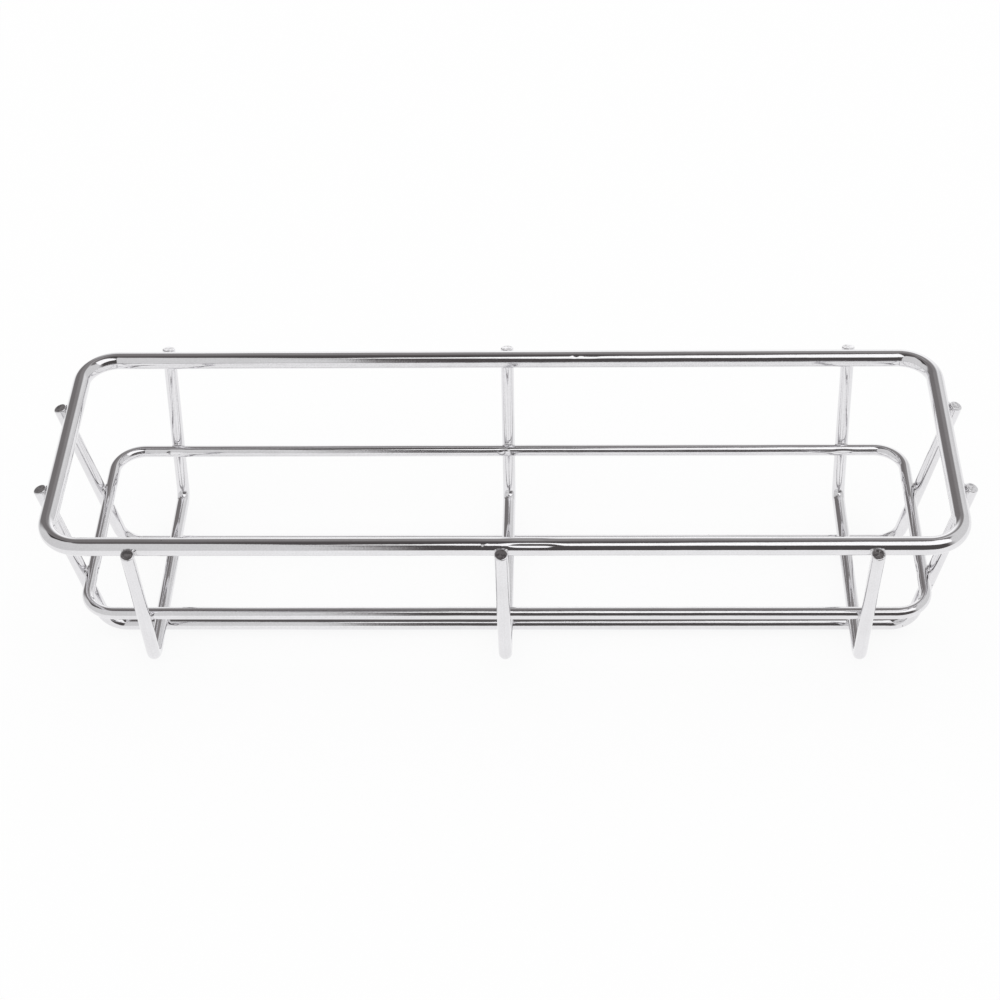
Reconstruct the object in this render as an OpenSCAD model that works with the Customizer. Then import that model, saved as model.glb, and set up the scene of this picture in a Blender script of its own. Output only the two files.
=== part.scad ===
// Wire rack that holds sugar packets on edge.
// A heavy rim and a lighter base loop, both closed rounded rectangles, are held apart by five
// bent ribs welded to their outer sides. Three cross ribs run front to back and lie on two long
// ribs, which run end to end underneath and stand on the table.
// Origin: on the table, under the middle of the rack. +X along the rack, +Y to the back, +Z up.

/* [Rim] */
// Length over the outside of the rim
rim_length = 160.4; // [120:0.2:220]
// Width over the outside of the rim
rim_width = 53.6; // [40:0.2:90]
// Diameter of the rim wire
rim_wire = 3.2; // [2.6:0.1:5]
// Corner radius of the rim, to the middle of the wire
rim_corner = 6.3; // [4:0.1:9]
// Height from the table to the top of the rim
rack_height = 36; // [28:0.5:60]

/* [Base loop] */
// How far the base loop's end stands in from the rim's end, outside to outside
loop_end_inset = 4.4; // [2:0.1:12]
// How far the base loop's side stands in from the rim's side, outside to outside
loop_side_inset = 3.9; // [2:0.1:8]
// Diameter of the base loop wire
loop_wire = 2.2; // [1.8:0.1:3]
// Corner radius of the base loop, to the middle of the wire
loop_corner = 5.5; // [3.5:0.1:8]
// Height of the middle of the base loop above the table
loop_height = 14.8; // [12:0.1:20]

/* [Ribs] */
// Diameter of the rib wire
rib_wire = 2.4; // [1.8:0.1:3]
// Distance from the rim's end to the middle of the outer cross ribs
cross_rib_inset = 16.7; // [14:0.1:40]
// Distance from the rim's side to the middle of the long ribs
long_rib_inset = 15.8; // [13:0.1:20]
// Bend radius at the foot of a cross rib, to the middle of the wire
cross_rib_bend = 2.4; // [2:0.1:6]
// Bend radius at the foot of a long rib, to the middle of the wire
long_rib_bend = 4.5; // [3:0.1:8]
// Height of a cross rib's cut end above the middle of the rim
cross_rib_rise = 0.7; // [0.4:0.1:3]
// Height of a long rib's cut end above the middle of the rim
long_rib_rise = 0.5; // [0.4:0.1:3]
// Bevel round a cut end
cut_end_bevel = 0.2; // [0.1:0.05:0.5]
// How much the wire thins in a bend, off its radius
bend_thinning = 0.02; // [0.015:0.005:0.05]

/* [Welds] */
// Depth that two crossing wires are pressed into each other
weld_depth = 0.25; // [0.15:0.05:0.5]
// Radius of the bead of metal squeezed out round a weld
weld_bead = 1.2; // [1:0.1:1.5]

/* [Hidden] */
$fn = 64;

// Length by which a bend runs on into the straight wires at its ends, and a cut past its bead
overrun = 0.15;

chrome = [0.78, 0.78, 0.80];
weld_chrome = [0.70, 0.70, 0.72];

// Middle lines of the two closed loops
rim_x = (rim_length - rim_wire) / 2;
rim_y = (rim_width - rim_wire) / 2;
rim_z = rack_height - rim_wire / 2;
loop_x = rim_length / 2 - loop_end_inset - loop_wire / 2;
loop_y = rim_width / 2 - loop_side_inset - loop_wire / 2;
loop_z = loop_height;

// The long ribs stand on the table, and the cross ribs lie on them
long_z = rib_wire / 2;
cross_z = long_z + rib_wire - weld_depth;
cross_x = rim_length / 2 - cross_rib_inset;
long_y = rim_width / 2 - long_rib_inset;

// Distance between the middles of a rib and the wire that it is welded to
rim_gap = (rim_wire + rib_wire) / 2 - weld_depth;
loop_gap = (loop_wire + rib_wire) / 2 - weld_depth;

// A rib's leg touches the outer sides of the rim and the base loop. Its lean from upright follows
// from how far apart the two middles are across the rib's plane.
function lean_of(rim_reach, loop_reach) =
    let (across = rim_reach - loop_reach, up = rim_z - loop_z)
    atan2(across, up) + asin((rim_gap - loop_gap) / norm([across, up]));

// Half the distance between the sharp corners where the legs' middle lines meet the foot's
function foot_of(rim_reach, lean, foot_z) =
    rim_reach + rim_gap * cos(lean) - (rim_z - rim_gap * sin(lean) - foot_z) * tan(lean);

cross_lean = lean_of(rim_y, loop_y);
long_lean = lean_of(rim_x, loop_x);
cross_foot = foot_of(rim_y, cross_lean, cross_z);
long_foot = foot_of(rim_x, long_lean, long_z);

// Wire of a given length along X, centred on the origin
module straight_x(length, wire) {
    rotate([0, 90, 0]) cylinder(h = length, d = wire, center = true);
}

// Wire of a given length along Y, centred on the origin
module straight_y(length, wire) {
    rotate([90, 0, 0]) cylinder(h = length, d = wire, center = true);
}

// Bend in the XY plane round the origin, from +X towards +Y
module bend(radius, angle, wire) {
    overrun_angle = overrun / radius * 180 / PI;
    rotate(-overrun_angle) rotate_extrude(angle = angle + 2 * overrun_angle)
        translate([radius, 0]) circle(d = wire - 2 * bend_thinning);
}

// Closed rounded rectangle of wire: half sizes and corner radius are to the wire's middle
module wire_loop(half_x, half_y, corner, wire) {
    for (side = [-1, 1]) {
        translate([0, side * half_y, 0]) straight_x(2 * (half_x - corner), wire);
        translate([side * half_x, 0, 0]) straight_y(2 * (half_y - corner), wire);
    }
    for (flip_x = [0, 1], flip_y = [0, 1])
        mirror([flip_x, 0, 0]) mirror([0, flip_y, 0])
            translate([half_x - corner, half_y - corner, 0]) bend(corner, 90, wire);
}

// Rib in the XZ plane: a straight foot, two bends and two legs that lean outwards
module bent_rib(foot, foot_z, lean, radius, end_z) {
    turn = 90 - lean;
    setback = radius * tan(turn / 2);
    leg_z = foot_z + setback * cos(lean);
    leg = (end_z - leg_z) / cos(lean);
    translate([0, 0, foot_z]) straight_x(2 * (foot - setback), rib_wire);
    for (flip = [0, 1]) mirror([flip, 0, 0]) {
        translate([foot - setback, 0, foot_z + radius])
            rotate([90, 0, 0]) rotate(-90) bend(radius, turn, rib_wire);
        translate([foot + setback * sin(lean), 0, leg_z]) rotate([0, lean, 0]) {
            cylinder(h = leg - cut_end_bevel, d = rib_wire);
            translate([0, 0, leg - cut_end_bevel])
                cylinder(h = cut_end_bevel, d1 = rib_wire, d2 = rib_wire - 2 * cut_end_bevel);
        }
    }
}

// Bead round one weld. The carrier wire runs along Y through the origin, and the rib along Z,
// a gap away on the +X side. The bead is a ball less the two wires that cross in it.
module weld_ring(gap, wire) {
    cut = 2 * (weld_bead + overrun);
    difference() {
        translate([(wire - weld_depth) / 2, 0, 0]) sphere(r = weld_bead);
        straight_y(cut, wire);
        translate([gap, 0, 0]) cylinder(h = cut, d = rib_wire, center = true);
    }
}

// Weld beads at both legs of one rib in the XZ plane, at a carrier's middle
module leg_welds(reach, height, lean, gap, wire) {
    for (flip = [0, 1]) mirror([flip, 0, 0])
        translate([reach, 0, height]) rotate([0, lean, 0]) weld_ring(gap, wire);
}

// Places a rib's XZ plane across the rack at the given X, or along it at the given Y
module across_at(x) { translate([x, 0, 0]) rotate(90) children(); }
module along_at(y) { translate([0, y, 0]) children(); }

module rim_shape() {
    translate([0, 0, rim_z]) wire_loop(rim_x, rim_y, rim_corner, rim_wire);
}

module loop_shape() {
    translate([0, 0, loop_z]) wire_loop(loop_x, loop_y, loop_corner, loop_wire);
}

// Feet of the cross ribs, as the long ribs meet them
module cross_feet() {
    for (x = [-cross_x, 0, cross_x])
        translate([x, 0, cross_z]) straight_y(2 * cross_foot, rib_wire);
}

module rim() {
    color(chrome) rim_shape();
}

module base_loop() {
    color(chrome) loop_shape();
}

// Cross rib with shallow saddles where the rim and the base loop are welded into it
module cross_rib(x) {
    color(chrome) difference() {
        across_at(x)
            bent_rib(cross_foot, cross_z, cross_lean, cross_rib_bend, rim_z + cross_rib_rise);
        rim_shape();
        loop_shape();
    }
}

// Long rib with saddles for the rim, the base loop and the cross ribs' feet
module long_rib(y) {
    color(chrome) difference() {
        along_at(y)
            bent_rib(long_foot, long_z, long_lean, long_rib_bend, rim_z + long_rib_rise);
        rim_shape();
        loop_shape();
        cross_feet();
    }
}

module rim_welds() {
    color(weld_chrome) {
        for (x = [-cross_x, 0, cross_x])
            across_at(x) leg_welds(rim_y, rim_z, cross_lean, rim_gap, rim_wire);
        for (y = [-long_y, long_y])
            along_at(y) leg_welds(rim_x, rim_z, long_lean, rim_gap, rim_wire);
    }
}

module loop_welds() {
    color(weld_chrome) {
        for (x = [-cross_x, 0, cross_x])
            across_at(x) leg_welds(loop_y, loop_z, cross_lean, loop_gap, loop_wire);
        for (y = [-long_y, long_y])
            along_at(y) leg_welds(loop_x, loop_z, long_lean, loop_gap, loop_wire);
    }
}

// Welds between the cross ribs' feet and the long ribs under them
module base_welds() {
    color(weld_chrome)
        for (x = [-cross_x, 0, cross_x], y = [-long_y, long_y])
            translate([x, y, cross_z]) rotate([0, 90, 0])
                weld_ring(rib_wire - weld_depth, rib_wire);
}

rim();
base_loop();
cross_rib(-cross_x);  // cross_rib_left
cross_rib(0);  // cross_rib_middle
cross_rib(cross_x);  // cross_rib_right
long_rib(-long_y);  // long_rib_front
long_rib(long_y);  // long_rib_back
rim_welds();
loop_welds();
base_welds();
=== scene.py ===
"""Dresses the sugar packet holder as bright chrome wire on a white table.

Every length is in metres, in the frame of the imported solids. The wires' sizes and places come
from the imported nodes' boxes. What a box can't tell repeats the driving dimensions of the part.
"""

import math
from dataclasses import dataclass

import bmesh
import bpy
import numpy as np
from mathutils import Matrix, Vector, noise


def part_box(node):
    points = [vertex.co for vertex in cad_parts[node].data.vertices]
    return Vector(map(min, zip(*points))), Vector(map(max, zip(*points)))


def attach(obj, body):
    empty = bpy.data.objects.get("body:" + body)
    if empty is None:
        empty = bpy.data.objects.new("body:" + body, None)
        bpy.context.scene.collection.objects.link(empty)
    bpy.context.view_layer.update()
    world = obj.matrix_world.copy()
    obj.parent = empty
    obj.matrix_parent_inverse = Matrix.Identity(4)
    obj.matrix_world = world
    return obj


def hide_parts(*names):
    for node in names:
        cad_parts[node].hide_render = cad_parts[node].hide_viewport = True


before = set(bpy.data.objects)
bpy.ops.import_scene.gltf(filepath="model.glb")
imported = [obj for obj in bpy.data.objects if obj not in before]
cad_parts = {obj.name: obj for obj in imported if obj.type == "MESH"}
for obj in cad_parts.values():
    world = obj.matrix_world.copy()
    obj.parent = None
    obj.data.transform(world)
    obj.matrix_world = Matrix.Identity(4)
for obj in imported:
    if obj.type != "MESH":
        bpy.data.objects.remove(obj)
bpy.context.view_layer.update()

MM = 0.001

# Driving dimensions of the part
RIM_CORNER = 6.3 * MM
LOOP_CORNER = 5.5 * MM
CROSS_BEND = 2.4 * MM
LONG_BEND = 4.5 * MM
CROSS_RISE = 0.7 * MM
LONG_RISE = 0.5 * MM
WELD_DEPTH = 0.25 * MM
END_BEVEL = 0.2 * MM

# Fineness of the meshes: a wire's stations are closer together near welds, marks and cut ends,
# and in bends, where it turns by more than so many radians per metre
PATH_STEP = 0.05 * MM
RING_STEP = 0.8 * MM
FINE_STEP = 0.2 * MM
FINE_REACH = 3.0 * MM
END_STEP = 0.07 * MM
END_REACH = 1.0 * MM
BEND_LEAST = 10.0
SIDES = 40
RIM_SIDES = 72
BEVEL_RINGS = 5
FACE_SHARES = (0.85, 0.6, 0.35, 0.12)
BEAD_SUBDIVISIONS = 4
BEAD_STEPS = 60

# Marks of the making: bends flatten a wire, and no wire is dead straight. Its outward and its
# sideways drift follow two rows of noise.
BEND_FLAT_SHARE = 0.05
WAVE = 0.03 * MM
WAVE_LENGTH = 14 * MM
WAVE_FADE = 5 * MM
WAVE_ROWS = (0, 7)

# Flats that the welding electrodes left on the base loop
FLAT_DEPTH = 0.11 * MM
FLAT_LENGTH = 1.6 * MM
FLAT_ANGLE = math.radians(27)
FLAT_GRAIN = 1.1 * MM
FLAT_UNEVENNESS = 0.5
FLAT_LEAST_SHARE = 0.01

# Cut ends: the shears left faces that aren't quite square or even, with lips on the outer side
CUT_SLOPE = math.tan(math.radians(5))
CUT_FADE = 3 * MM
CUT_ROUGHNESS = 0.012 * MM
CUT_GRAIN = 0.5 * MM
LIP_PLACE = 0.45 * MM
LIP_LENGTH = 0.17 * MM
LIP_DEPTH = 0.13 * MM
LIP_ANGLE = math.radians(35)

# Marks on the rim's long runs: place along X, side of the rack (-1 front, 1 back), angle from
# outward to up in degrees, depth, half length and half spread in degrees
RIM_MARKS = {
    "dressed closing joint": (5.3 * MM, -1, 46, 0.105 * MM, 4.2 * MM, 11.5),
    "upper facet of the joint": (4.3 * MM, -1, 92, 0.06 * MM, 3.8 * MM, 8),
    "weld spatter": (-2.8 * MM, -1, 50, -0.035 * MM, 0.4 * MM, 9),
    "nick behind": (12.6 * MM, 1, 122, 0.025 * MM, 0.5 * MM, 9),
    "rub behind": (15.2 * MM, 1, 122, 0.025 * MM, 1.8 * MM, 9),
}

# Weld beads: fillets round each contact, roughened up to a share of their reach
FILLET = 0.7 * MM
BEAD_REACH = 1.5 * MM
BEAD_SINK = 0.05 * MM
BEAD_DROP = 0.3 * MM
BEAD_ROUGHNESS = 0.05 * MM
BEAD_GRAIN = 2.6
BEAD_SMOOTH_FROM = 0.98
TINY = 1e-12

# The photograph's camera
VIEW_TARGET = Vector((-1.02, 0.0, 21.94)) * MM
VIEW_DISTANCE = 414.1 * MM
VIEW_AZIMUTH = math.radians(2.26)
VIEW_ELEVATION = math.radians(42.45)
VIEW_ROLL = math.radians(-1.63)
SENSOR_WIDTH = 36.0
LENS = 82.05
CLIP_START = 0.01
CLIP_END = 20.0

X_AXIS, Y_AXIS, Z_AXIS = np.eye(3)
CROSS_RIBS = ("cross_rib_left", "cross_rib_middle", "cross_rib_right")
LONG_RIBS = ("long_rib_front", "long_rib_back")


# Sizes of the rack

def box_of(node):
    """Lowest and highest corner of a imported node."""
    low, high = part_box(node)
    return np.array(low), np.array(high)


def middle_of(node):
    """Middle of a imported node's box."""
    low, high = box_of(node)
    return (low + high) / 2


def loop_sizes(node):
    """Half length and half width to a loop's middle line, its height and its wire's radius."""
    low, high = box_of(node)
    radius = (high[2] - low[2]) / 2
    return high[0] - radius, high[1] - radius, low[2] + radius, radius


rim_x, rim_y, rim_z, rim_r = loop_sizes("rim")
loop_x, loop_y, loop_z, loop_r = loop_sizes("base_loop")
cross_low, cross_high = box_of("cross_rib_middle")
rib_r = (cross_high[0] - cross_low[0]) / 2
cross_z = cross_low[2] + rib_r
long_z = box_of("long_rib_front")[0][2] + rib_r
cross_origins = [middle_of(node) * X_AXIS for node in CROSS_RIBS]
long_origins = [middle_of(node) * Y_AXIS for node in LONG_RIBS]

rim_gap = rim_r + rib_r - WELD_DEPTH
loop_gap = loop_r + rib_r - WELD_DEPTH


def lean_of(rim_reach, loop_reach):
    """Lean from upright of a leg that touches the outer sides of the rim and the loop."""
    across = rim_reach - loop_reach
    up = rim_z - loop_z
    return math.atan2(across, up) + math.asin((rim_gap - loop_gap) / math.hypot(across, up))


def foot_of(rim_reach, lean, foot_z):
    """Half the distance between the sharp corners of a rib's middle line."""
    drop = rim_z - rim_gap * math.sin(lean) - foot_z
    return rim_reach + rim_gap * math.cos(lean) - drop * math.tan(lean)


cross_lean = lean_of(rim_y, loop_y)
long_lean = lean_of(rim_x, loop_x)
cross_foot = foot_of(rim_y, cross_lean, cross_z)
long_foot = foot_of(rim_x, long_lean, long_z)


# Middle lines, as points in a plane

def arc(centre, radius, start, end):
    """Points of an arc from one angle to another, in degrees."""
    angles = np.radians(np.linspace(start, end, 2 + int(abs(end - start))))
    return np.array(centre) + radius * np.stack([np.cos(angles), np.sin(angles)], 1)


def loop_line(half_x, half_y, corner):
    """Closed rounded rectangle, from the middle of its back run round to it again."""
    points = [[(0, half_y)]]
    for side_x, side_y, start in ((-1, 1, 90), (-1, -1, 180), (1, -1, 270), (1, 1, 0)):
        centre = (side_x * (half_x - corner), side_y * (half_y - corner))
        points.append(arc(centre, corner, start, start + 90))
    points.append([(0, half_y)])
    return np.vstack(points)


def rib_line(foot, foot_z, lean, radius, end_z):
    """Open line of a bent rib: leg, bend, foot, bend, leg."""
    turn = math.degrees(math.pi / 2 - lean)
    setback = radius * math.tan(math.radians(turn) / 2)
    top = foot + (end_z - foot_z) * math.tan(lean)
    bend = arc((foot - setback, foot_z + radius), radius, -90, turn - 90)
    right = np.vstack([bend, [(top, end_z)]])
    left = right[::-1] * (-1, 1)
    return np.vstack([left, right])


# Welds: where they are and which two wires meet there

@dataclass
class Rod:
    """A straight wire near a weld: a middle point, its direction and its radius."""
    middle: np.ndarray
    direction: np.ndarray
    radius: float


@dataclass
class Weld:
    """Where two wires touch, with a point and the normal of a cut face that ends one of them."""
    contact: np.ndarray
    carrier: Rod
    crossing: Rod
    cut: tuple = None


def leg_welds(origin, along, reach, height, lean, radius, rise=None):
    """The two welds of one rib with the rim or the loop; at the rim its legs end after a rise."""
    gap = radius + rib_r - WELD_DEPTH
    sideways = np.cross(Z_AXIS, along)
    welds = []
    for side in (-1, 1):
        outward = side * along * math.cos(lean) - Z_AXIS * math.sin(lean)
        leg = side * along * math.sin(lean) + Z_AXIS * math.cos(lean)
        middle = origin + side * reach * along + height * Z_AXIS
        crossing = Rod(middle + outward * gap, leg, rib_r)
        cut = None
        if rise is not None:
            end = (rise + gap * math.sin(lean)) / math.cos(lean)
            face = leg + CUT_SLOPE * outward
            cut = (crossing.middle + end * leg - rib_r * outward, face / np.linalg.norm(face))
        contact = middle + outward * (radius - WELD_DEPTH / 2)
        welds.append(Weld(contact, Rod(middle, sideways, radius), crossing, cut))
    return welds


rim_welds = []
loop_welds = []
for origins, along, rim_reach, loop_reach, lean, rise in (
    (cross_origins, Y_AXIS, rim_y, loop_y, cross_lean, CROSS_RISE),
    (long_origins, X_AXIS, rim_x, loop_x, long_lean, LONG_RISE),
):
    for origin in origins:
        rim_welds += leg_welds(origin, along, rim_reach, rim_z, lean, rim_r, rise)
        loop_welds += leg_welds(origin, along, loop_reach, loop_z, lean, loop_r)

base_welds = []
for cross in cross_origins:
    for long in long_origins:
        upper = Rod(cross + long + cross_z * Z_AXIS, Y_AXIS, rib_r)
        lower = Rod(cross + long + long_z * Z_AXIS, X_AXIS, rib_r)
        base_welds.append(Weld((upper.middle + lower.middle) / 2, upper, lower))

contacts = np.array([weld.contact for weld in rim_welds + loop_welds + base_welds])
mark_places = np.array([(x, run * rim_y, rim_z) for x, run, *_ in RIM_MARKS.values()])


# Wire meshes

@dataclass
class Course:
    """A wire's course: distances, middle points, headings, outward and sideways axes."""
    length: float
    along: np.ndarray
    middle: np.ndarray
    forward: np.ndarray
    outward: np.ndarray
    side: np.ndarray
    bend: np.ndarray
    closed: bool


def smooth_step(x):
    """0 below 0, 1 above 1 and smooth between."""
    x = np.clip(x, 0, 1)
    return x * x * (3 - 2 * x)


def turned(angle, centre):
    """Difference of two angles, from -pi to pi."""
    return (angle - centre + math.pi) % (2 * math.pi) - math.pi


def noise_at(points):
    """Smooth noise from -1 to 1 at each point."""
    return np.array([noise.noise(Vector(point)) for point in points])


def lay_out(line, plane, closed):
    """Course along a line in a plane, with stations close together where there is more to show."""
    origin, axis_u, axis_v = plane
    at = np.concatenate([[0], np.cumsum(np.linalg.norm(np.diff(line, axis=0), axis=1))])
    fine = np.linspace(0, at[-1], int(at[-1] / PATH_STEP))
    dense = np.stack([np.interp(fine, at, line[:, axis]) for axis in (0, 1)], 1)
    step = np.gradient(dense, axis=0)
    heading = np.unwrap(np.arctan2(step[:, 1], step[:, 0]))
    middle = origin + dense[:, :1] * axis_u + dense[:, 1:] * axis_v

    spots = np.vstack([contacts, mark_places])
    busy = np.linalg.norm(middle[:, None] - spots[None], axis=2).min(axis=1) < FINE_REACH
    busy |= np.abs(np.gradient(heading, fine)) > BEND_LEAST
    pace = np.where(busy, FINE_STEP, RING_STEP)
    if not closed:
        pace = np.where(np.minimum(fine, fine[-1] - fine) < END_REACH, END_STEP, pace)
    grown = np.concatenate([[0], np.cumsum(np.diff(fine) / pace[1:])])
    marks = np.linspace(0, grown[-1], int(grown[-1]) + 1, endpoint=not closed)
    along = np.interp(marks, grown, fine)

    angle = np.interp(along, fine, heading)[:, None]
    middle = np.stack([np.interp(along, fine, middle[:, axis]) for axis in range(3)], 1)
    forward = np.cos(angle) * axis_u + np.sin(angle) * axis_v
    outward = np.sin(angle) * axis_u - np.cos(angle) * axis_v
    bend = np.abs(np.gradient(angle[:, 0], along))
    side = np.cross(axis_u, axis_v)
    return Course(fine[-1], along, middle, forward, outward, side, bend, closed)


def from_end(course):
    """Distance from the nearer end of a wire, or from the seam of a closed one."""
    return np.minimum(course.along, course.length - course.along)


def sway(course, seed, biases):
    """Lets a course drift a little outwards and sideways off its line, but not at a wire's ends."""
    turn = 2 * math.pi * course.along / course.length
    round_trip = course.length / WAVE_LENGTH / (2 * math.pi)
    fade = 1 if course.closed else smooth_step(from_end(course) / WAVE_FADE)
    for axis, bias, row in zip((course.outward, course.side), biases, WAVE_ROWS):
        places = [(math.cos(t) * round_trip, math.sin(t) * round_trip, seed + row) for t in turn]
        drift = WAVE * fade * (noise_at(places) + bias)
        course.middle = course.middle + axis * drift[:, None]


def flat_marks(course, radius, angle):
    """Hollows that the electrodes left on the side away from each weld."""
    hollow = np.zeros((len(course.along), len(angle)))
    for contact in contacts:
        nearest = np.argmin(np.linalg.norm(course.middle - contact, axis=1))
        gap = contact - course.middle[nearest]
        if np.linalg.norm(gap) > radius:
            continue
        opposite = math.atan2(-gap @ course.side, -gap @ course.outward[nearest])
        away = course.along - course.along[nearest]
        along = np.exp(-((away / FLAT_LENGTH) ** 4))
        around = np.exp(-((turned(angle, opposite) / FLAT_ANGLE) ** 2))
        for row in np.flatnonzero(along > FLAT_LEAST_SHARE):
            places = [(away[row] / FLAT_GRAIN, a * radius / FLAT_GRAIN, nearest) for a in angle]
            uneven = 1 + FLAT_UNEVENNESS * noise_at(places)
            hollow[row] += FLAT_DEPTH * along[row] * around * uneven
    return hollow


def rim_marks(course, angle):
    """Hollows and bumps on the rim's long runs."""
    hollow = np.zeros((len(course.along), len(angle)))
    for x, run, turn, depth, length, spread in RIM_MARKS.values():
        same_run = course.middle[:, 1] * run > 0
        away = np.where(same_run, course.middle[:, 0] - x, math.inf)
        along = np.exp(-((away / length) ** 4))
        around = np.exp(-((turned(angle, math.radians(turn)) / math.radians(spread)) ** 2))
        hollow += depth * along[:, None] * around[None]
    return hollow


def lip_marks(course, angle):
    """Hollows under the lips that the shears left on the outer side of the cut ends."""
    along = np.exp(-(((from_end(course) - LIP_PLACE) / LIP_LENGTH) ** 2))
    around = np.exp(-((turned(angle, 0) / LIP_ANGLE) ** 2))
    return LIP_DEPTH * along[:, None] * around[None]


def slanted(course, rings, radius):
    """Leans the rings near a wire's ends, until the last ones lie in the slanted cuts."""
    to_end = np.where(course.along < course.length / 2, -1, 1)[:, None] * course.forward
    across = np.einsum("rsk,rk->rs", rings - course.middle[:, None], course.outward)
    share = 1 - smooth_step(from_end(course) / CUT_FADE)
    drop = CUT_SLOPE * share[:, None] * (across + radius)
    return rings - drop[:, :, None] * to_end[:, None]


def end_rings(ring, out, radius):
    """Rings that round and close a cut end, from the foot of its bevel to the middle of its face."""
    profile = [(1.0, -END_BEVEL)]
    for step in range(1, BEVEL_RINGS + 1):
        turn = math.pi / 2 * step / BEVEL_RINGS
        pull = 1 - END_BEVEL / radius * (1 - math.cos(turn))
        profile.append((pull, END_BEVEL * (math.sin(turn) - 1)))
    profile += [(pull * share, 0.0) for share in FACE_SHARES]
    centre = ring.mean(axis=0)
    rings = []
    for row, (share, push) in enumerate(profile):
        points = centre + (ring - centre) * share
        rough = np.zeros(len(ring))
        if row > BEVEL_RINGS:
            rough = CUT_ROUGHNESS * np.abs(noise_at(points / CUT_GRAIN))
        rings.append(points + (push - rough)[:, None] * out)
    return rings


def tube_faces(count, sides, closed):
    """Quads between neighbouring rings, and the two end faces of an open wire."""
    faces = []
    for row in range(count if closed else count - 1):
        here, there = row * sides, (row + 1) % count * sides
        for column in range(sides):
            beside = (column + 1) % sides
            faces.append((here + column, there + column, there + beside, here + beside))
    if not closed:
        faces.append(tuple(range(sides)))
        faces.append(tuple(reversed(range((count - 1) * sides, count * sides))))
    return faces


def new_piece(name, node, material, vertices, faces):
    """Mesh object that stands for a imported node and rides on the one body."""
    mesh = bpy.data.meshes.new(name)
    mesh.from_pydata(vertices.tolist(), [], faces)
    mesh.validate()
    mesh.shade_smooth()
    mesh.materials.append(material)
    piece = bpy.data.objects.new(name, mesh)
    bpy.context.scene.collection.objects.link(piece)
    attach(piece, "root")
    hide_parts(node)
    return piece


def add_values(piece, name, kind, values):
    """Stores a value for each vertex, for the materials to read."""
    layer = piece.data.attributes.new(name, kind, "POINT")
    field = "vector" if kind == "FLOAT_VECTOR" else "value"
    layer.data.foreach_set(field, np.ascontiguousarray(values, dtype=np.float32).ravel())


def sharpen(piece, rings, sides):
    """Makes the edges along some rings of a wire sharp."""
    for edge in piece.data.edges:
        first, second = (vertex // sides for vertex in edge.vertices)
        if first == second and first in rings:
            edge.use_edge_sharp = True


def girth_of(node, course, radius, angle):
    """Distance from a wire's middle line to its surface, at each station and all round."""
    bending = np.clip(course.bend * 2 * radius, 0, 1)
    girth = radius * (1 - BEND_FLAT_SHARE * bending[:, None] * np.cos(angle)[None] ** 2)
    if node == "base_loop":
        girth -= flat_marks(course, radius, angle)
    if node == "rim":
        girth -= rim_marks(course, angle)
    if not course.closed:
        girth -= lip_marks(course, angle)
    return girth


def with_ends(course, rings, radius):
    """Rings of an open wire with its cut ends, and how far each is from the nearer end."""
    rings = slanted(course, rings, radius)
    places = from_end(course)
    kept = places > END_BEVEL + END_STEP / 2
    first = end_rings(rings[0], -course.forward[0], radius)
    last = end_rings(rings[-1], course.forward[-1], radius)
    rings = np.stack(first[::-1] + list(rings[kept]) + last)
    return rings, np.concatenate([np.zeros(len(first)), places[kept], np.zeros(len(last))])


def wire(node, plane, line, radius, sides, closed, biases, material):
    """Round wire swept along a line in a plane, with the marks of its making."""
    course = lay_out(line, plane, closed)
    sway(course, sum(map(ord, node)), biases)
    angle = np.linspace(0, 2 * math.pi, sides, endpoint=False)
    round_it = np.cos(angle)[:, None] * course.outward[:, None]
    round_it = round_it + np.sin(angle)[:, None] * course.side
    girth = girth_of(node, course, radius, angle)
    rings = course.middle[:, None] + girth[:, :, None] * round_it
    places = from_end(course)
    if not closed:
        rings, places = with_ends(course, rings, radius)

    count = len(rings)
    faces = tube_faces(count, sides, closed)
    piece = new_piece(node + "_wire", node, material, rings.reshape(-1, 3), faces)
    drawn = [np.tile(np.cos(angle), count), np.tile(np.sin(angle), count)]
    drawn.append(np.repeat(places / radius, sides))
    cut = np.zeros((count, sides))
    if not closed:
        faced = len(FACE_SHARES)
        cut[:faced] = 1
        cut[-faced:] = 1
        sharpen(piece, (faced, count - 1 - faced), sides)
    add_values(piece, "drawn", "FLOAT_VECTOR", np.stack(drawn, 1))
    add_values(piece, "cut_face", "FLOAT", cut)


# Weld beads: the smooth fillet between two crossing wires

def rod_distance(points, rod):
    """Distance of points from a straight wire's surface, negative inside."""
    away = points - rod.middle
    along = away @ rod.direction
    around = np.linalg.norm(away - along[..., None] * rod.direction, axis=-1)
    return around - rod.radius


def bead(weld, directions):
    """Closed surface round one contact that fills the crease between its two wires."""
    reach = np.linspace(0, BEAD_REACH, BEAD_STEPS)
    points = weld.contact + reach[None, :, None] * directions[:, None]
    first = rod_distance(points, weld.carrier)
    second = rod_distance(points, weld.crossing)
    blend = np.maximum(FILLET - np.abs(first - second), 0) / FILLET
    field = np.minimum(first, second) - blend**2 * FILLET / 4
    field = field + BEAD_SINK * (reach / BEAD_REACH)[None] ** 2
    if weld.cut:
        point, normal = weld.cut
        field = np.maximum(field, (points - point) @ normal + BEAD_DROP)
    outside = field > 0
    outside[:, -1] = True
    last = np.argmax(outside, axis=1)
    rows = np.arange(len(directions))
    before, after = field[rows, last - 1], field[rows, last]
    share = np.clip(-before / np.maximum(after - before, TINY), 0, 1)
    share = np.where(after > 0, share, 1)
    distance = reach[last - 1] + share * (reach[last] - reach[last - 1])
    rough = np.abs(noise_at(directions * BEAD_GRAIN + weld.contact / MM))
    distance = distance - BEAD_ROUGHNESS * rough * (distance < BEAD_SMOOTH_FROM * BEAD_REACH)
    return weld.contact + distance[:, None] * directions


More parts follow.
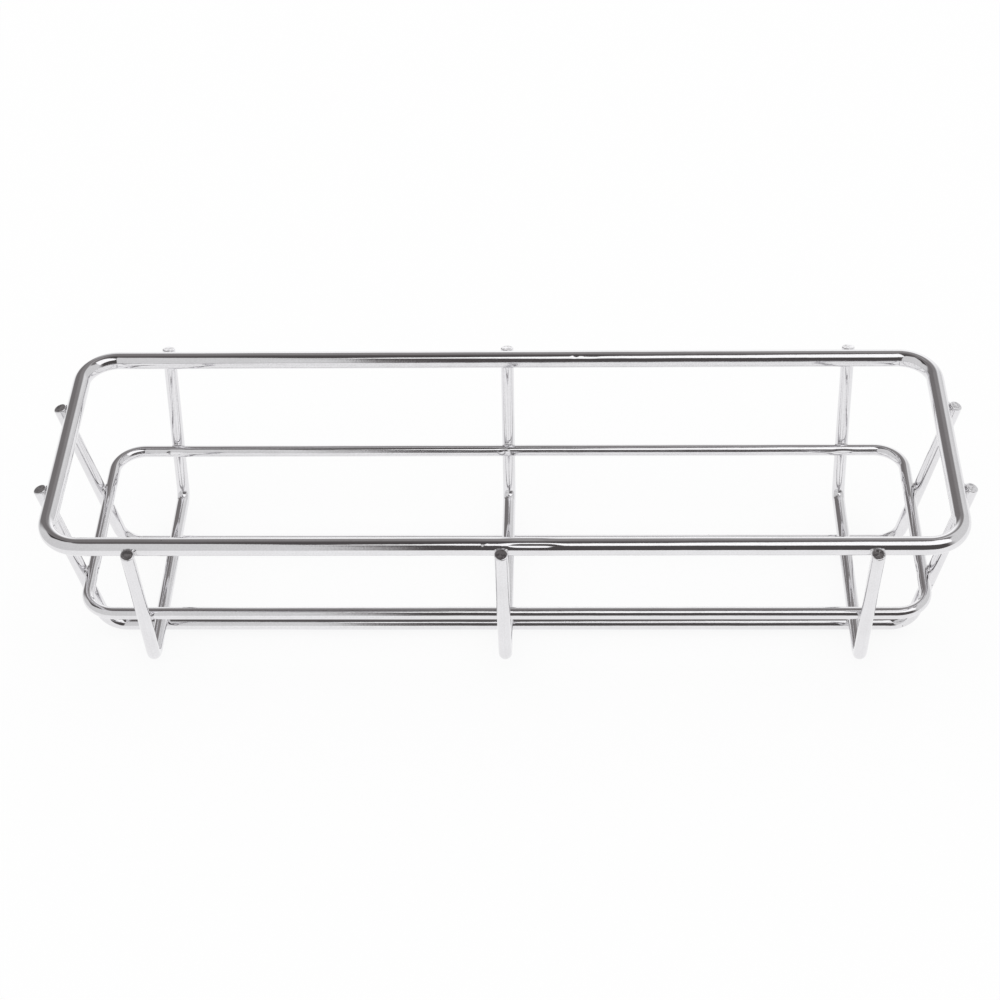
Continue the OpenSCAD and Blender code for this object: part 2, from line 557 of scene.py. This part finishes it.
def ball():
    """Evenly spread directions and the triangles between them."""
    shape = bmesh.new()
    bmesh.ops.create_icosphere(shape, subdivisions=BEAD_SUBDIVISIONS, radius=1)
    directions = np.array([vertex.co[:] for vertex in shape.verts])
    faces = [tuple(vertex.index for vertex in face.verts) for face in shape.faces]
    shape.free()
    return directions / np.linalg.norm(directions, axis=1)[:, None], faces


def weld_beads(node, welds, material):
    """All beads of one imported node, as one piece."""
    directions, triangles = ball()
    vertices = np.vstack([bead(weld, directions) for weld in welds])
    faces = []
    for row in range(len(welds)):
        offset = row * len(directions)
        faces += [tuple(corner + offset for corner in face) for face in triangles]
    new_piece(node + "_beads", node, material, vertices, faces)


# Materials

# Scale and detail of the chrome's noises, in waves per metre. The drawing lines are counted round
# a wire and along it instead, by its radius.
CLOUD_NOISE = (140.0, 3.0)
LINE_NOISE = (1.0, 4.0)
PORE_NOISE = (3400.0, 2.0)
TEAR_NOISE = (1800.0, 3.0)
DRAWING_SCALE = (5.0, 5.0, 0.12)
PIT_SCALE = 200.0
# A range of a texture and the shares that its ends give: of dull plate in the first three, and
# of the pits' colour in the others
HAZE = (0.45, 0.75, 0.0, 0.35)
STREAKS = (0.35, 0.7, 0.0, 0.25)
SPECKS = (0.35, 0.65, 0.0, 0.45)
PITS = (0.015, 0.03, 1.0, 0.0)
TEARS = (0.45, 0.62, 0.0, 0.55)
PIT_COLOUR = (0.12, 0.115, 0.115, 1)
# Range of the drawing lines that goes from the least roughness to the greatest
POLISH = (0.35, 0.8)
BUMP_STRENGTH = 0.12
BUMP_DEPTH = 0.03 * MM
# What a cut face adds to the roughness and to the grain
CUT_DULLNESS = 0.04
CUT_COARSENESS = 4.0
# Colours of bright and of dull plate, least and greatest roughness, and grain
PLATE = ((0.815, 0.809, 0.827), (0.72, 0.712, 0.727), (0.03, 0.09), 0.5)
# The beads' plate has a darker colour than the wires': painted shade in the creases between the wires,
# where the beads sit. Its greater roughness and coarser grain are the weld's own.
WELD_PLATE_WITH_PAINTED_CREASE_SHADE = ((0.78, 0.772, 0.787), (0.6, 0.59, 0.6), (0.08, 0.2), 1.2)
WHITE = (1, 1, 1, 1)


def feed(tree, socket, value):
    """Links a shader input to another node's output, or sets it."""
    if isinstance(value, bpy.types.NodeSocket):
        tree.links.new(value, socket)
    else:
        socket.default_value = value


def add_node(tree, kind, **inputs):
    """Shader node with some of its inputs fed."""
    node = tree.nodes.new(kind)
    for name, value in inputs.items():
        feed(tree, node.inputs[name.replace("_", " ")], value)
    return node


def arithmetic(tree, operation, *values):
    """Output of a math node."""
    node = tree.nodes.new("ShaderNodeMath")
    node.operation = operation
    for socket, value in zip(node.inputs, values):
        feed(tree, socket, value)
    return node.outputs["Value"]


def stored(tree, name):
    """Node that reads the values stored with a mesh."""
    node = tree.nodes.new("ShaderNodeAttribute")
    node.attribute_name = name
    return node


def noise_texture(tree, vector, scale, detail):
    """Output of a noise texture."""
    node = add_node(tree, "ShaderNodeTexNoise", Vector=vector, Scale=scale, Detail=detail)
    return node.outputs["Fac"]


def scaled(tree, value, low, high, to_low, to_high):
    """Output of a clamped change of range."""
    limits = {"From_Min": low, "From_Max": high, "To_Min": to_low, "To_Max": to_high}
    return add_node(tree, "ShaderNodeMapRange", Value=value, **limits).outputs["Result"]


def mixed(tree, share, first, second):
    """Output of a mix of two colours."""
    node = tree.nodes.new("ShaderNodeMix")
    node.data_type = "RGBA"
    sockets = {socket.identifier: socket for socket in (*node.inputs, *node.outputs)}
    feed(tree, sockets["Factor_Float"], share)
    feed(tree, sockets["A_Color"], first)
    feed(tree, sockets["B_Color"], second)
    return sockets["Result_Color"]


def chrome(name, bright, dull, gloss, grain):
    """Chrome plate: cloudy and streaky, with drawing lines, a few pits and torn cut faces."""
    material = bpy.data.materials.new(name)
    material.use_nodes = True
    tree = material.node_tree
    spot = tree.nodes.new("ShaderNodeTexCoord").outputs["Object"]
    cut = stored(tree, "cut_face").outputs["Fac"]
    drawn = tree.nodes.new("ShaderNodeVectorMath")
    drawn.operation = "MULTIPLY"
    feed(tree, drawn.inputs[0], stored(tree, "drawn").outputs["Vector"])
    feed(tree, drawn.inputs[1], DRAWING_SCALE)

    clouds = noise_texture(tree, spot, *CLOUD_NOISE)
    lines = noise_texture(tree, drawn.outputs["Vector"], *LINE_NOISE)
    pores = noise_texture(tree, spot, *PORE_NOISE)
    tears = noise_texture(tree, spot, *TEAR_NOISE)
    cells = add_node(tree, "ShaderNodeTexVoronoi", Vector=spot, Scale=PIT_SCALE)

    worn = arithmetic(tree, "ADD", scaled(tree, clouds, *HAZE), scaled(tree, lines, *STREAKS))
    worn = arithmetic(tree, "ADD", worn, scaled(tree, pores, *SPECKS))
    torn = arithmetic(tree, "MULTIPLY", cut, scaled(tree, tears, *TEARS))
    pits = arithmetic(tree, "MAXIMUM", scaled(tree, cells.outputs["Distance"], *PITS), torn)
    colour = mixed(tree, worn, (*bright, 1), (*dull, 1))
    roughness = scaled(tree, lines, *POLISH, *gloss)
    coarse = arithmetic(tree, "MULTIPLY_ADD", cut, CUT_COARSENESS, grain)
    relief = arithmetic(tree, "MULTIPLY_ADD", pores, coarse, lines)
    bump = add_node(tree, "ShaderNodeBump", Strength=BUMP_STRENGTH, Distance=BUMP_DEPTH, Height=relief)

    surface = tree.nodes["Principled BSDF"].inputs
    feed(tree, surface["Metallic"], 1.0)
    feed(tree, surface["Base Color"], mixed(tree, pits, colour, PIT_COLOUR))
    feed(tree, surface["Roughness"], arithmetic(tree, "MULTIPLY_ADD", cut, CUT_DULLNESS, roughness))
    feed(tree, surface["Normal"], bump.outputs["Normal"])
    return material


# Studio

# What the chrome mirrors above the table. Each wall has a middle azimuth (0 towards the viewer,
# growing to the right), half width, lowest and highest elevation and soft edge, in degrees, and
# a brightness. Later ones cover earlier ones.
WALLS = 0.76
STUDIO = {
    "grey wall behind": (192, 32, 21, 57, 12, 0.27),
    "white sweep below it": (187, 36, -60, 29, 24, 1.2),
    "dark hall behind on the left": (-142, 22, -2, 70, 18, 0.2),
    "upper wall behind": (180, 90, 58, 120, 4, 0.21),
    "dark gap beside the hall": (-108, 13, 40, 68, 8, 0.06),
    "dark ceiling": (0, 200, 72, 120, 4, 0.135),
}
# The dark side of the viewer: its brightness, its left and right edge and how soft they are, in
# degrees, how much the left edge leans out with height, and up to which elevation
DARK_SIDE = 0.082
DARK_LEFT = -5
DARK_RIGHT = 60
DARK_LEFT_SOFT = 3
DARK_RIGHT_SOFT = 25
DARK_LEAN = 2.8
DARK_TOP = 84
# Red, green and blue that full darkness adds, as shares
DARK_TINT = np.array((0.08, -0.02, -0.02))
DOME_RADIUS = 8.0
DOME_LOWEST = -30
# Corners of the softbox on a ceiling one unit up
SOFTBOX = ((-0.15, -0.60), (0.28, 0.31), (1.50, -0.71), (0.01, -0.91))
SOFTBOX_HEIGHT = 4.0
SOFTBOX_BRIGHTNESS = 1.26
# The white floor, the edges of the table on it that the chrome mirrors, the table's colour and
# how much of what the camera sees of it glows
FLOOR_SIZE = 12.0
TABLE_FRONT = -0.235
TABLE_LEFT = -0.15
TABLE_COLOUR = (0.97, 0.97, 0.97, 1)
FLOOR_GLOW_SHARE = 0.85


def soft_edge(inside, soft):
    """Cover from 0 to 1 across a soft edge, by how far inside it a direction is."""
    return smooth_step(inside / soft + 0.5)


def studio_light(azimuth, elevation):
    """Colour of the studio in each direction."""
    level = np.full(azimuth.shape, WALLS)
    for middle, half, low, high, soft, brightness in STUDIO.values():
        aside = np.abs((azimuth - middle + 180) % 360 - 180)
        cover = soft_edge(half - aside, soft)
        cover = cover * soft_edge(elevation - low, soft) * soft_edge(high - elevation, soft)
        level = level + cover * (brightness - level)
    height = np.clip(elevation, 0, DARK_TOP)
    left = DARK_LEFT - DARK_LEAN * np.tan(np.radians(height)) ** 2
    cover = soft_edge(azimuth - left, DARK_LEFT_SOFT)
    cover = cover * soft_edge(DARK_RIGHT - azimuth, DARK_RIGHT_SOFT)
    level = level + cover * (np.minimum(DARK_SIDE, level) - level)
    tint = 1 + DARK_TINT * np.clip(1 - 2 * level, 0, 1)[..., None]
    return level[..., None] * tint


def only_mirrored(obj):
    """A studio card: chrome shows it, the camera and the table don't."""
    obj.visible_camera = False
    obj.visible_diffuse = False
    obj.visible_shadow = False
    obj.visible_volume_scatter = False


def glow_material(name, strength):
    """White emission, and its node."""
    material = bpy.data.materials.new(name)
    material.use_nodes = True
    tree = material.node_tree
    tree.nodes.clear()
    glow = add_node(tree, "ShaderNodeEmission", Strength=strength)
    add_node(tree, "ShaderNodeOutputMaterial", Surface=glow.outputs["Emission"])
    return material, glow


def stage_mesh(name, vertices, faces, material):
    """Object of the studio."""
    mesh = bpy.data.meshes.new(name)
    mesh.from_pydata(vertices, [], faces)
    mesh.materials.append(material)
    obj = bpy.data.objects.new(name, mesh)
    bpy.context.scene.collection.objects.link(obj)
    return obj


def studio_dome():
    """The studio's walls and ceiling, as the chrome mirrors them."""
    elevation, azimuth = np.mgrid[DOME_LOWEST:90, -180:180].astype(float)
    colours = studio_light(azimuth, elevation)
    rows, around = azimuth.shape
    up, turn = np.radians(elevation), np.radians(azimuth)
    ways = np.stack([np.sin(turn) * np.cos(up), -np.cos(turn) * np.cos(up), np.sin(up)], -1)
    faces = []
    for row in range(rows - 1):
        here, above = row * around, (row + 1) * around
        for column in range(around):
            beside = (column + 1) % around
            faces.append((here + column, here + beside, above + beside, above + column))
    faces.append(tuple(range((rows - 1) * around, rows * around)))
    material, glow = glow_material("studio_walls", 1.0)
    paint = stored(material.node_tree, "paint").outputs["Color"]
    feed(material.node_tree, glow.inputs["Color"], paint)
    vertices = (DOME_RADIUS * ways).reshape(-1, 3).tolist()
    dome = stage_mesh("studio_dome", vertices, faces, material)
    layer = dome.data.color_attributes.new("paint", "FLOAT_COLOR", "POINT")
    colours = np.concatenate([colours, np.ones((rows, around, 1))], -1)
    layer.data.foreach_set("color", colours.astype(np.float32).ravel())
    only_mirrored(dome)


def softbox():
    """Large light above the viewer's right shoulder."""
    corners = [(x * SOFTBOX_HEIGHT, y * SOFTBOX_HEIGHT, SOFTBOX_HEIGHT) for x, y in SOFTBOX]
    material, _ = glow_material("softbox_cloth", SOFTBOX_BRIGHTNESS)
    only_mirrored(stage_mesh("softbox", corners, [(0, 1, 2, 3)], material))


def table_cloth():
    """White for the camera and for what mirrors it, with a soft shadow of the rack."""
    material = bpy.data.materials.new("white_table")
    material.use_nodes = True
    tree = material.node_tree
    tree.nodes.clear()
    cloth = add_node(tree, "ShaderNodeBsdfDiffuse", Color=TABLE_COLOUR)
    glow = add_node(tree, "ShaderNodeEmission", Color=WHITE, Strength=1.0)
    ray = tree.nodes.new("ShaderNodeLightPath").outputs
    seen = arithmetic(tree, "MULTIPLY", ray["Is Camera Ray"], FLOOR_GLOW_SHARE)
    share = arithmetic(tree, "MAXIMUM", ray["Is Glossy Ray"], seen)
    both = add_node(tree, "ShaderNodeMixShader", Fac=share)
    feed(tree, both.inputs[1], cloth.outputs["BSDF"])
    feed(tree, both.inputs[2], glow.outputs["Emission"])
    add_node(tree, "ShaderNodeOutputMaterial", Surface=both.outputs["Shader"])
    return material


def table():
    """White floor without end for the camera, which the chrome mirrors up to the table's edges."""
    material = table_cloth()
    half = FLOOR_SIZE / 2
    for low_x, high_x in ((-half, TABLE_LEFT), (TABLE_LEFT, half)):
        for low_y, high_y in ((-half, TABLE_FRONT), (TABLE_FRONT, half)):
            corners = [(low_x, low_y, 0), (high_x, low_y, 0), (high_x, high_y, 0), (low_x, high_y, 0)]
            part = stage_mesh("table_top", corners, [(0, 1, 2, 3)], material)
            part.visible_glossy = low_x == TABLE_LEFT and low_y == TABLE_FRONT


def white_world():
    """Even white light from all round."""
    world = bpy.data.worlds.new("white_room")
    world.use_nodes = True
    background = world.node_tree.nodes["Background"]
    background.inputs["Color"].default_value = WHITE
    background.inputs["Strength"].default_value = 1.0
    bpy.context.scene.world = world


def camera():
    """Camera at the photograph's place."""
    level = math.cos(VIEW_ELEVATION)
    aside = math.sin(VIEW_AZIMUTH) * level
    towards = -math.cos(VIEW_AZIMUTH) * level
    back = Vector((aside, towards, math.sin(VIEW_ELEVATION)))
    right = Vector((0, 0, 1)).cross(back).normalized()
    up = back.cross(right)
    rolled = right * math.cos(VIEW_ROLL) + up * math.sin(VIEW_ROLL)
    over = back.cross(rolled)
    data = bpy.data.cameras.new("camera")
    data.sensor_width = SENSOR_WIDTH
    data.lens = LENS
    data.clip_start = CLIP_START
    data.clip_end = CLIP_END
    obj = bpy.data.objects.new("camera", data)
    facing = Matrix((rolled, over, back)).transposed().to_4x4()
    obj.matrix_world = Matrix.Translation(VIEW_TARGET + back * VIEW_DISTANCE) @ facing
    bpy.context.scene.collection.objects.link(obj)
    bpy.context.scene.camera = obj


# The pieces

plate = chrome("chrome_plate", *PLATE)
# The beads' chrome has a darker colour that paints shade into the creases between the wires.
weld_plate_with_painted_crease_shade = chrome("chrome_over_weld_with_painted_crease_shade", *WELD_PLATE_WITH_PAINTED_CREASE_SHADE)

rim_line = loop_line(rim_x, rim_y, RIM_CORNER)
base_line = loop_line(loop_x, loop_y, LOOP_CORNER)
cross_line = rib_line(cross_foot, cross_z, cross_lean, CROSS_BEND, rim_z + CROSS_RISE)
long_line = rib_line(long_foot, long_z, long_lean, LONG_BEND, rim_z + LONG_RISE)

# A bias of -1 keeps a wave on one side of its line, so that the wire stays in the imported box
wire("rim", (rim_z * Z_AXIS, X_AXIS, Y_AXIS), rim_line, rim_r, RIM_SIDES, True, (0, -1), plate)
wire("base_loop", (loop_z * Z_AXIS, X_AXIS, Y_AXIS), base_line, loop_r, SIDES, True, (0, 0), plate)
for node, origin in zip(CROSS_RIBS, cross_origins):
    wire(node, (origin, Y_AXIS, Z_AXIS), cross_line, rib_r, SIDES, False, (-1, 0), plate)
for node, origin in zip(LONG_RIBS, long_origins):
    wire(node, (origin, X_AXIS, Z_AXIS), long_line, rib_r, SIDES, False, (-1, 0), plate)

for node, welds in (("rim_welds", rim_welds), ("loop_welds", loop_welds), ("base_welds", base_welds)):
    weld_beads(node, welds, weld_plate_with_painted_crease_shade)

studio_dome()
softbox()
table()
white_world()
camera()
bpy.context.scene.view_settings.view_transform = "Standard"
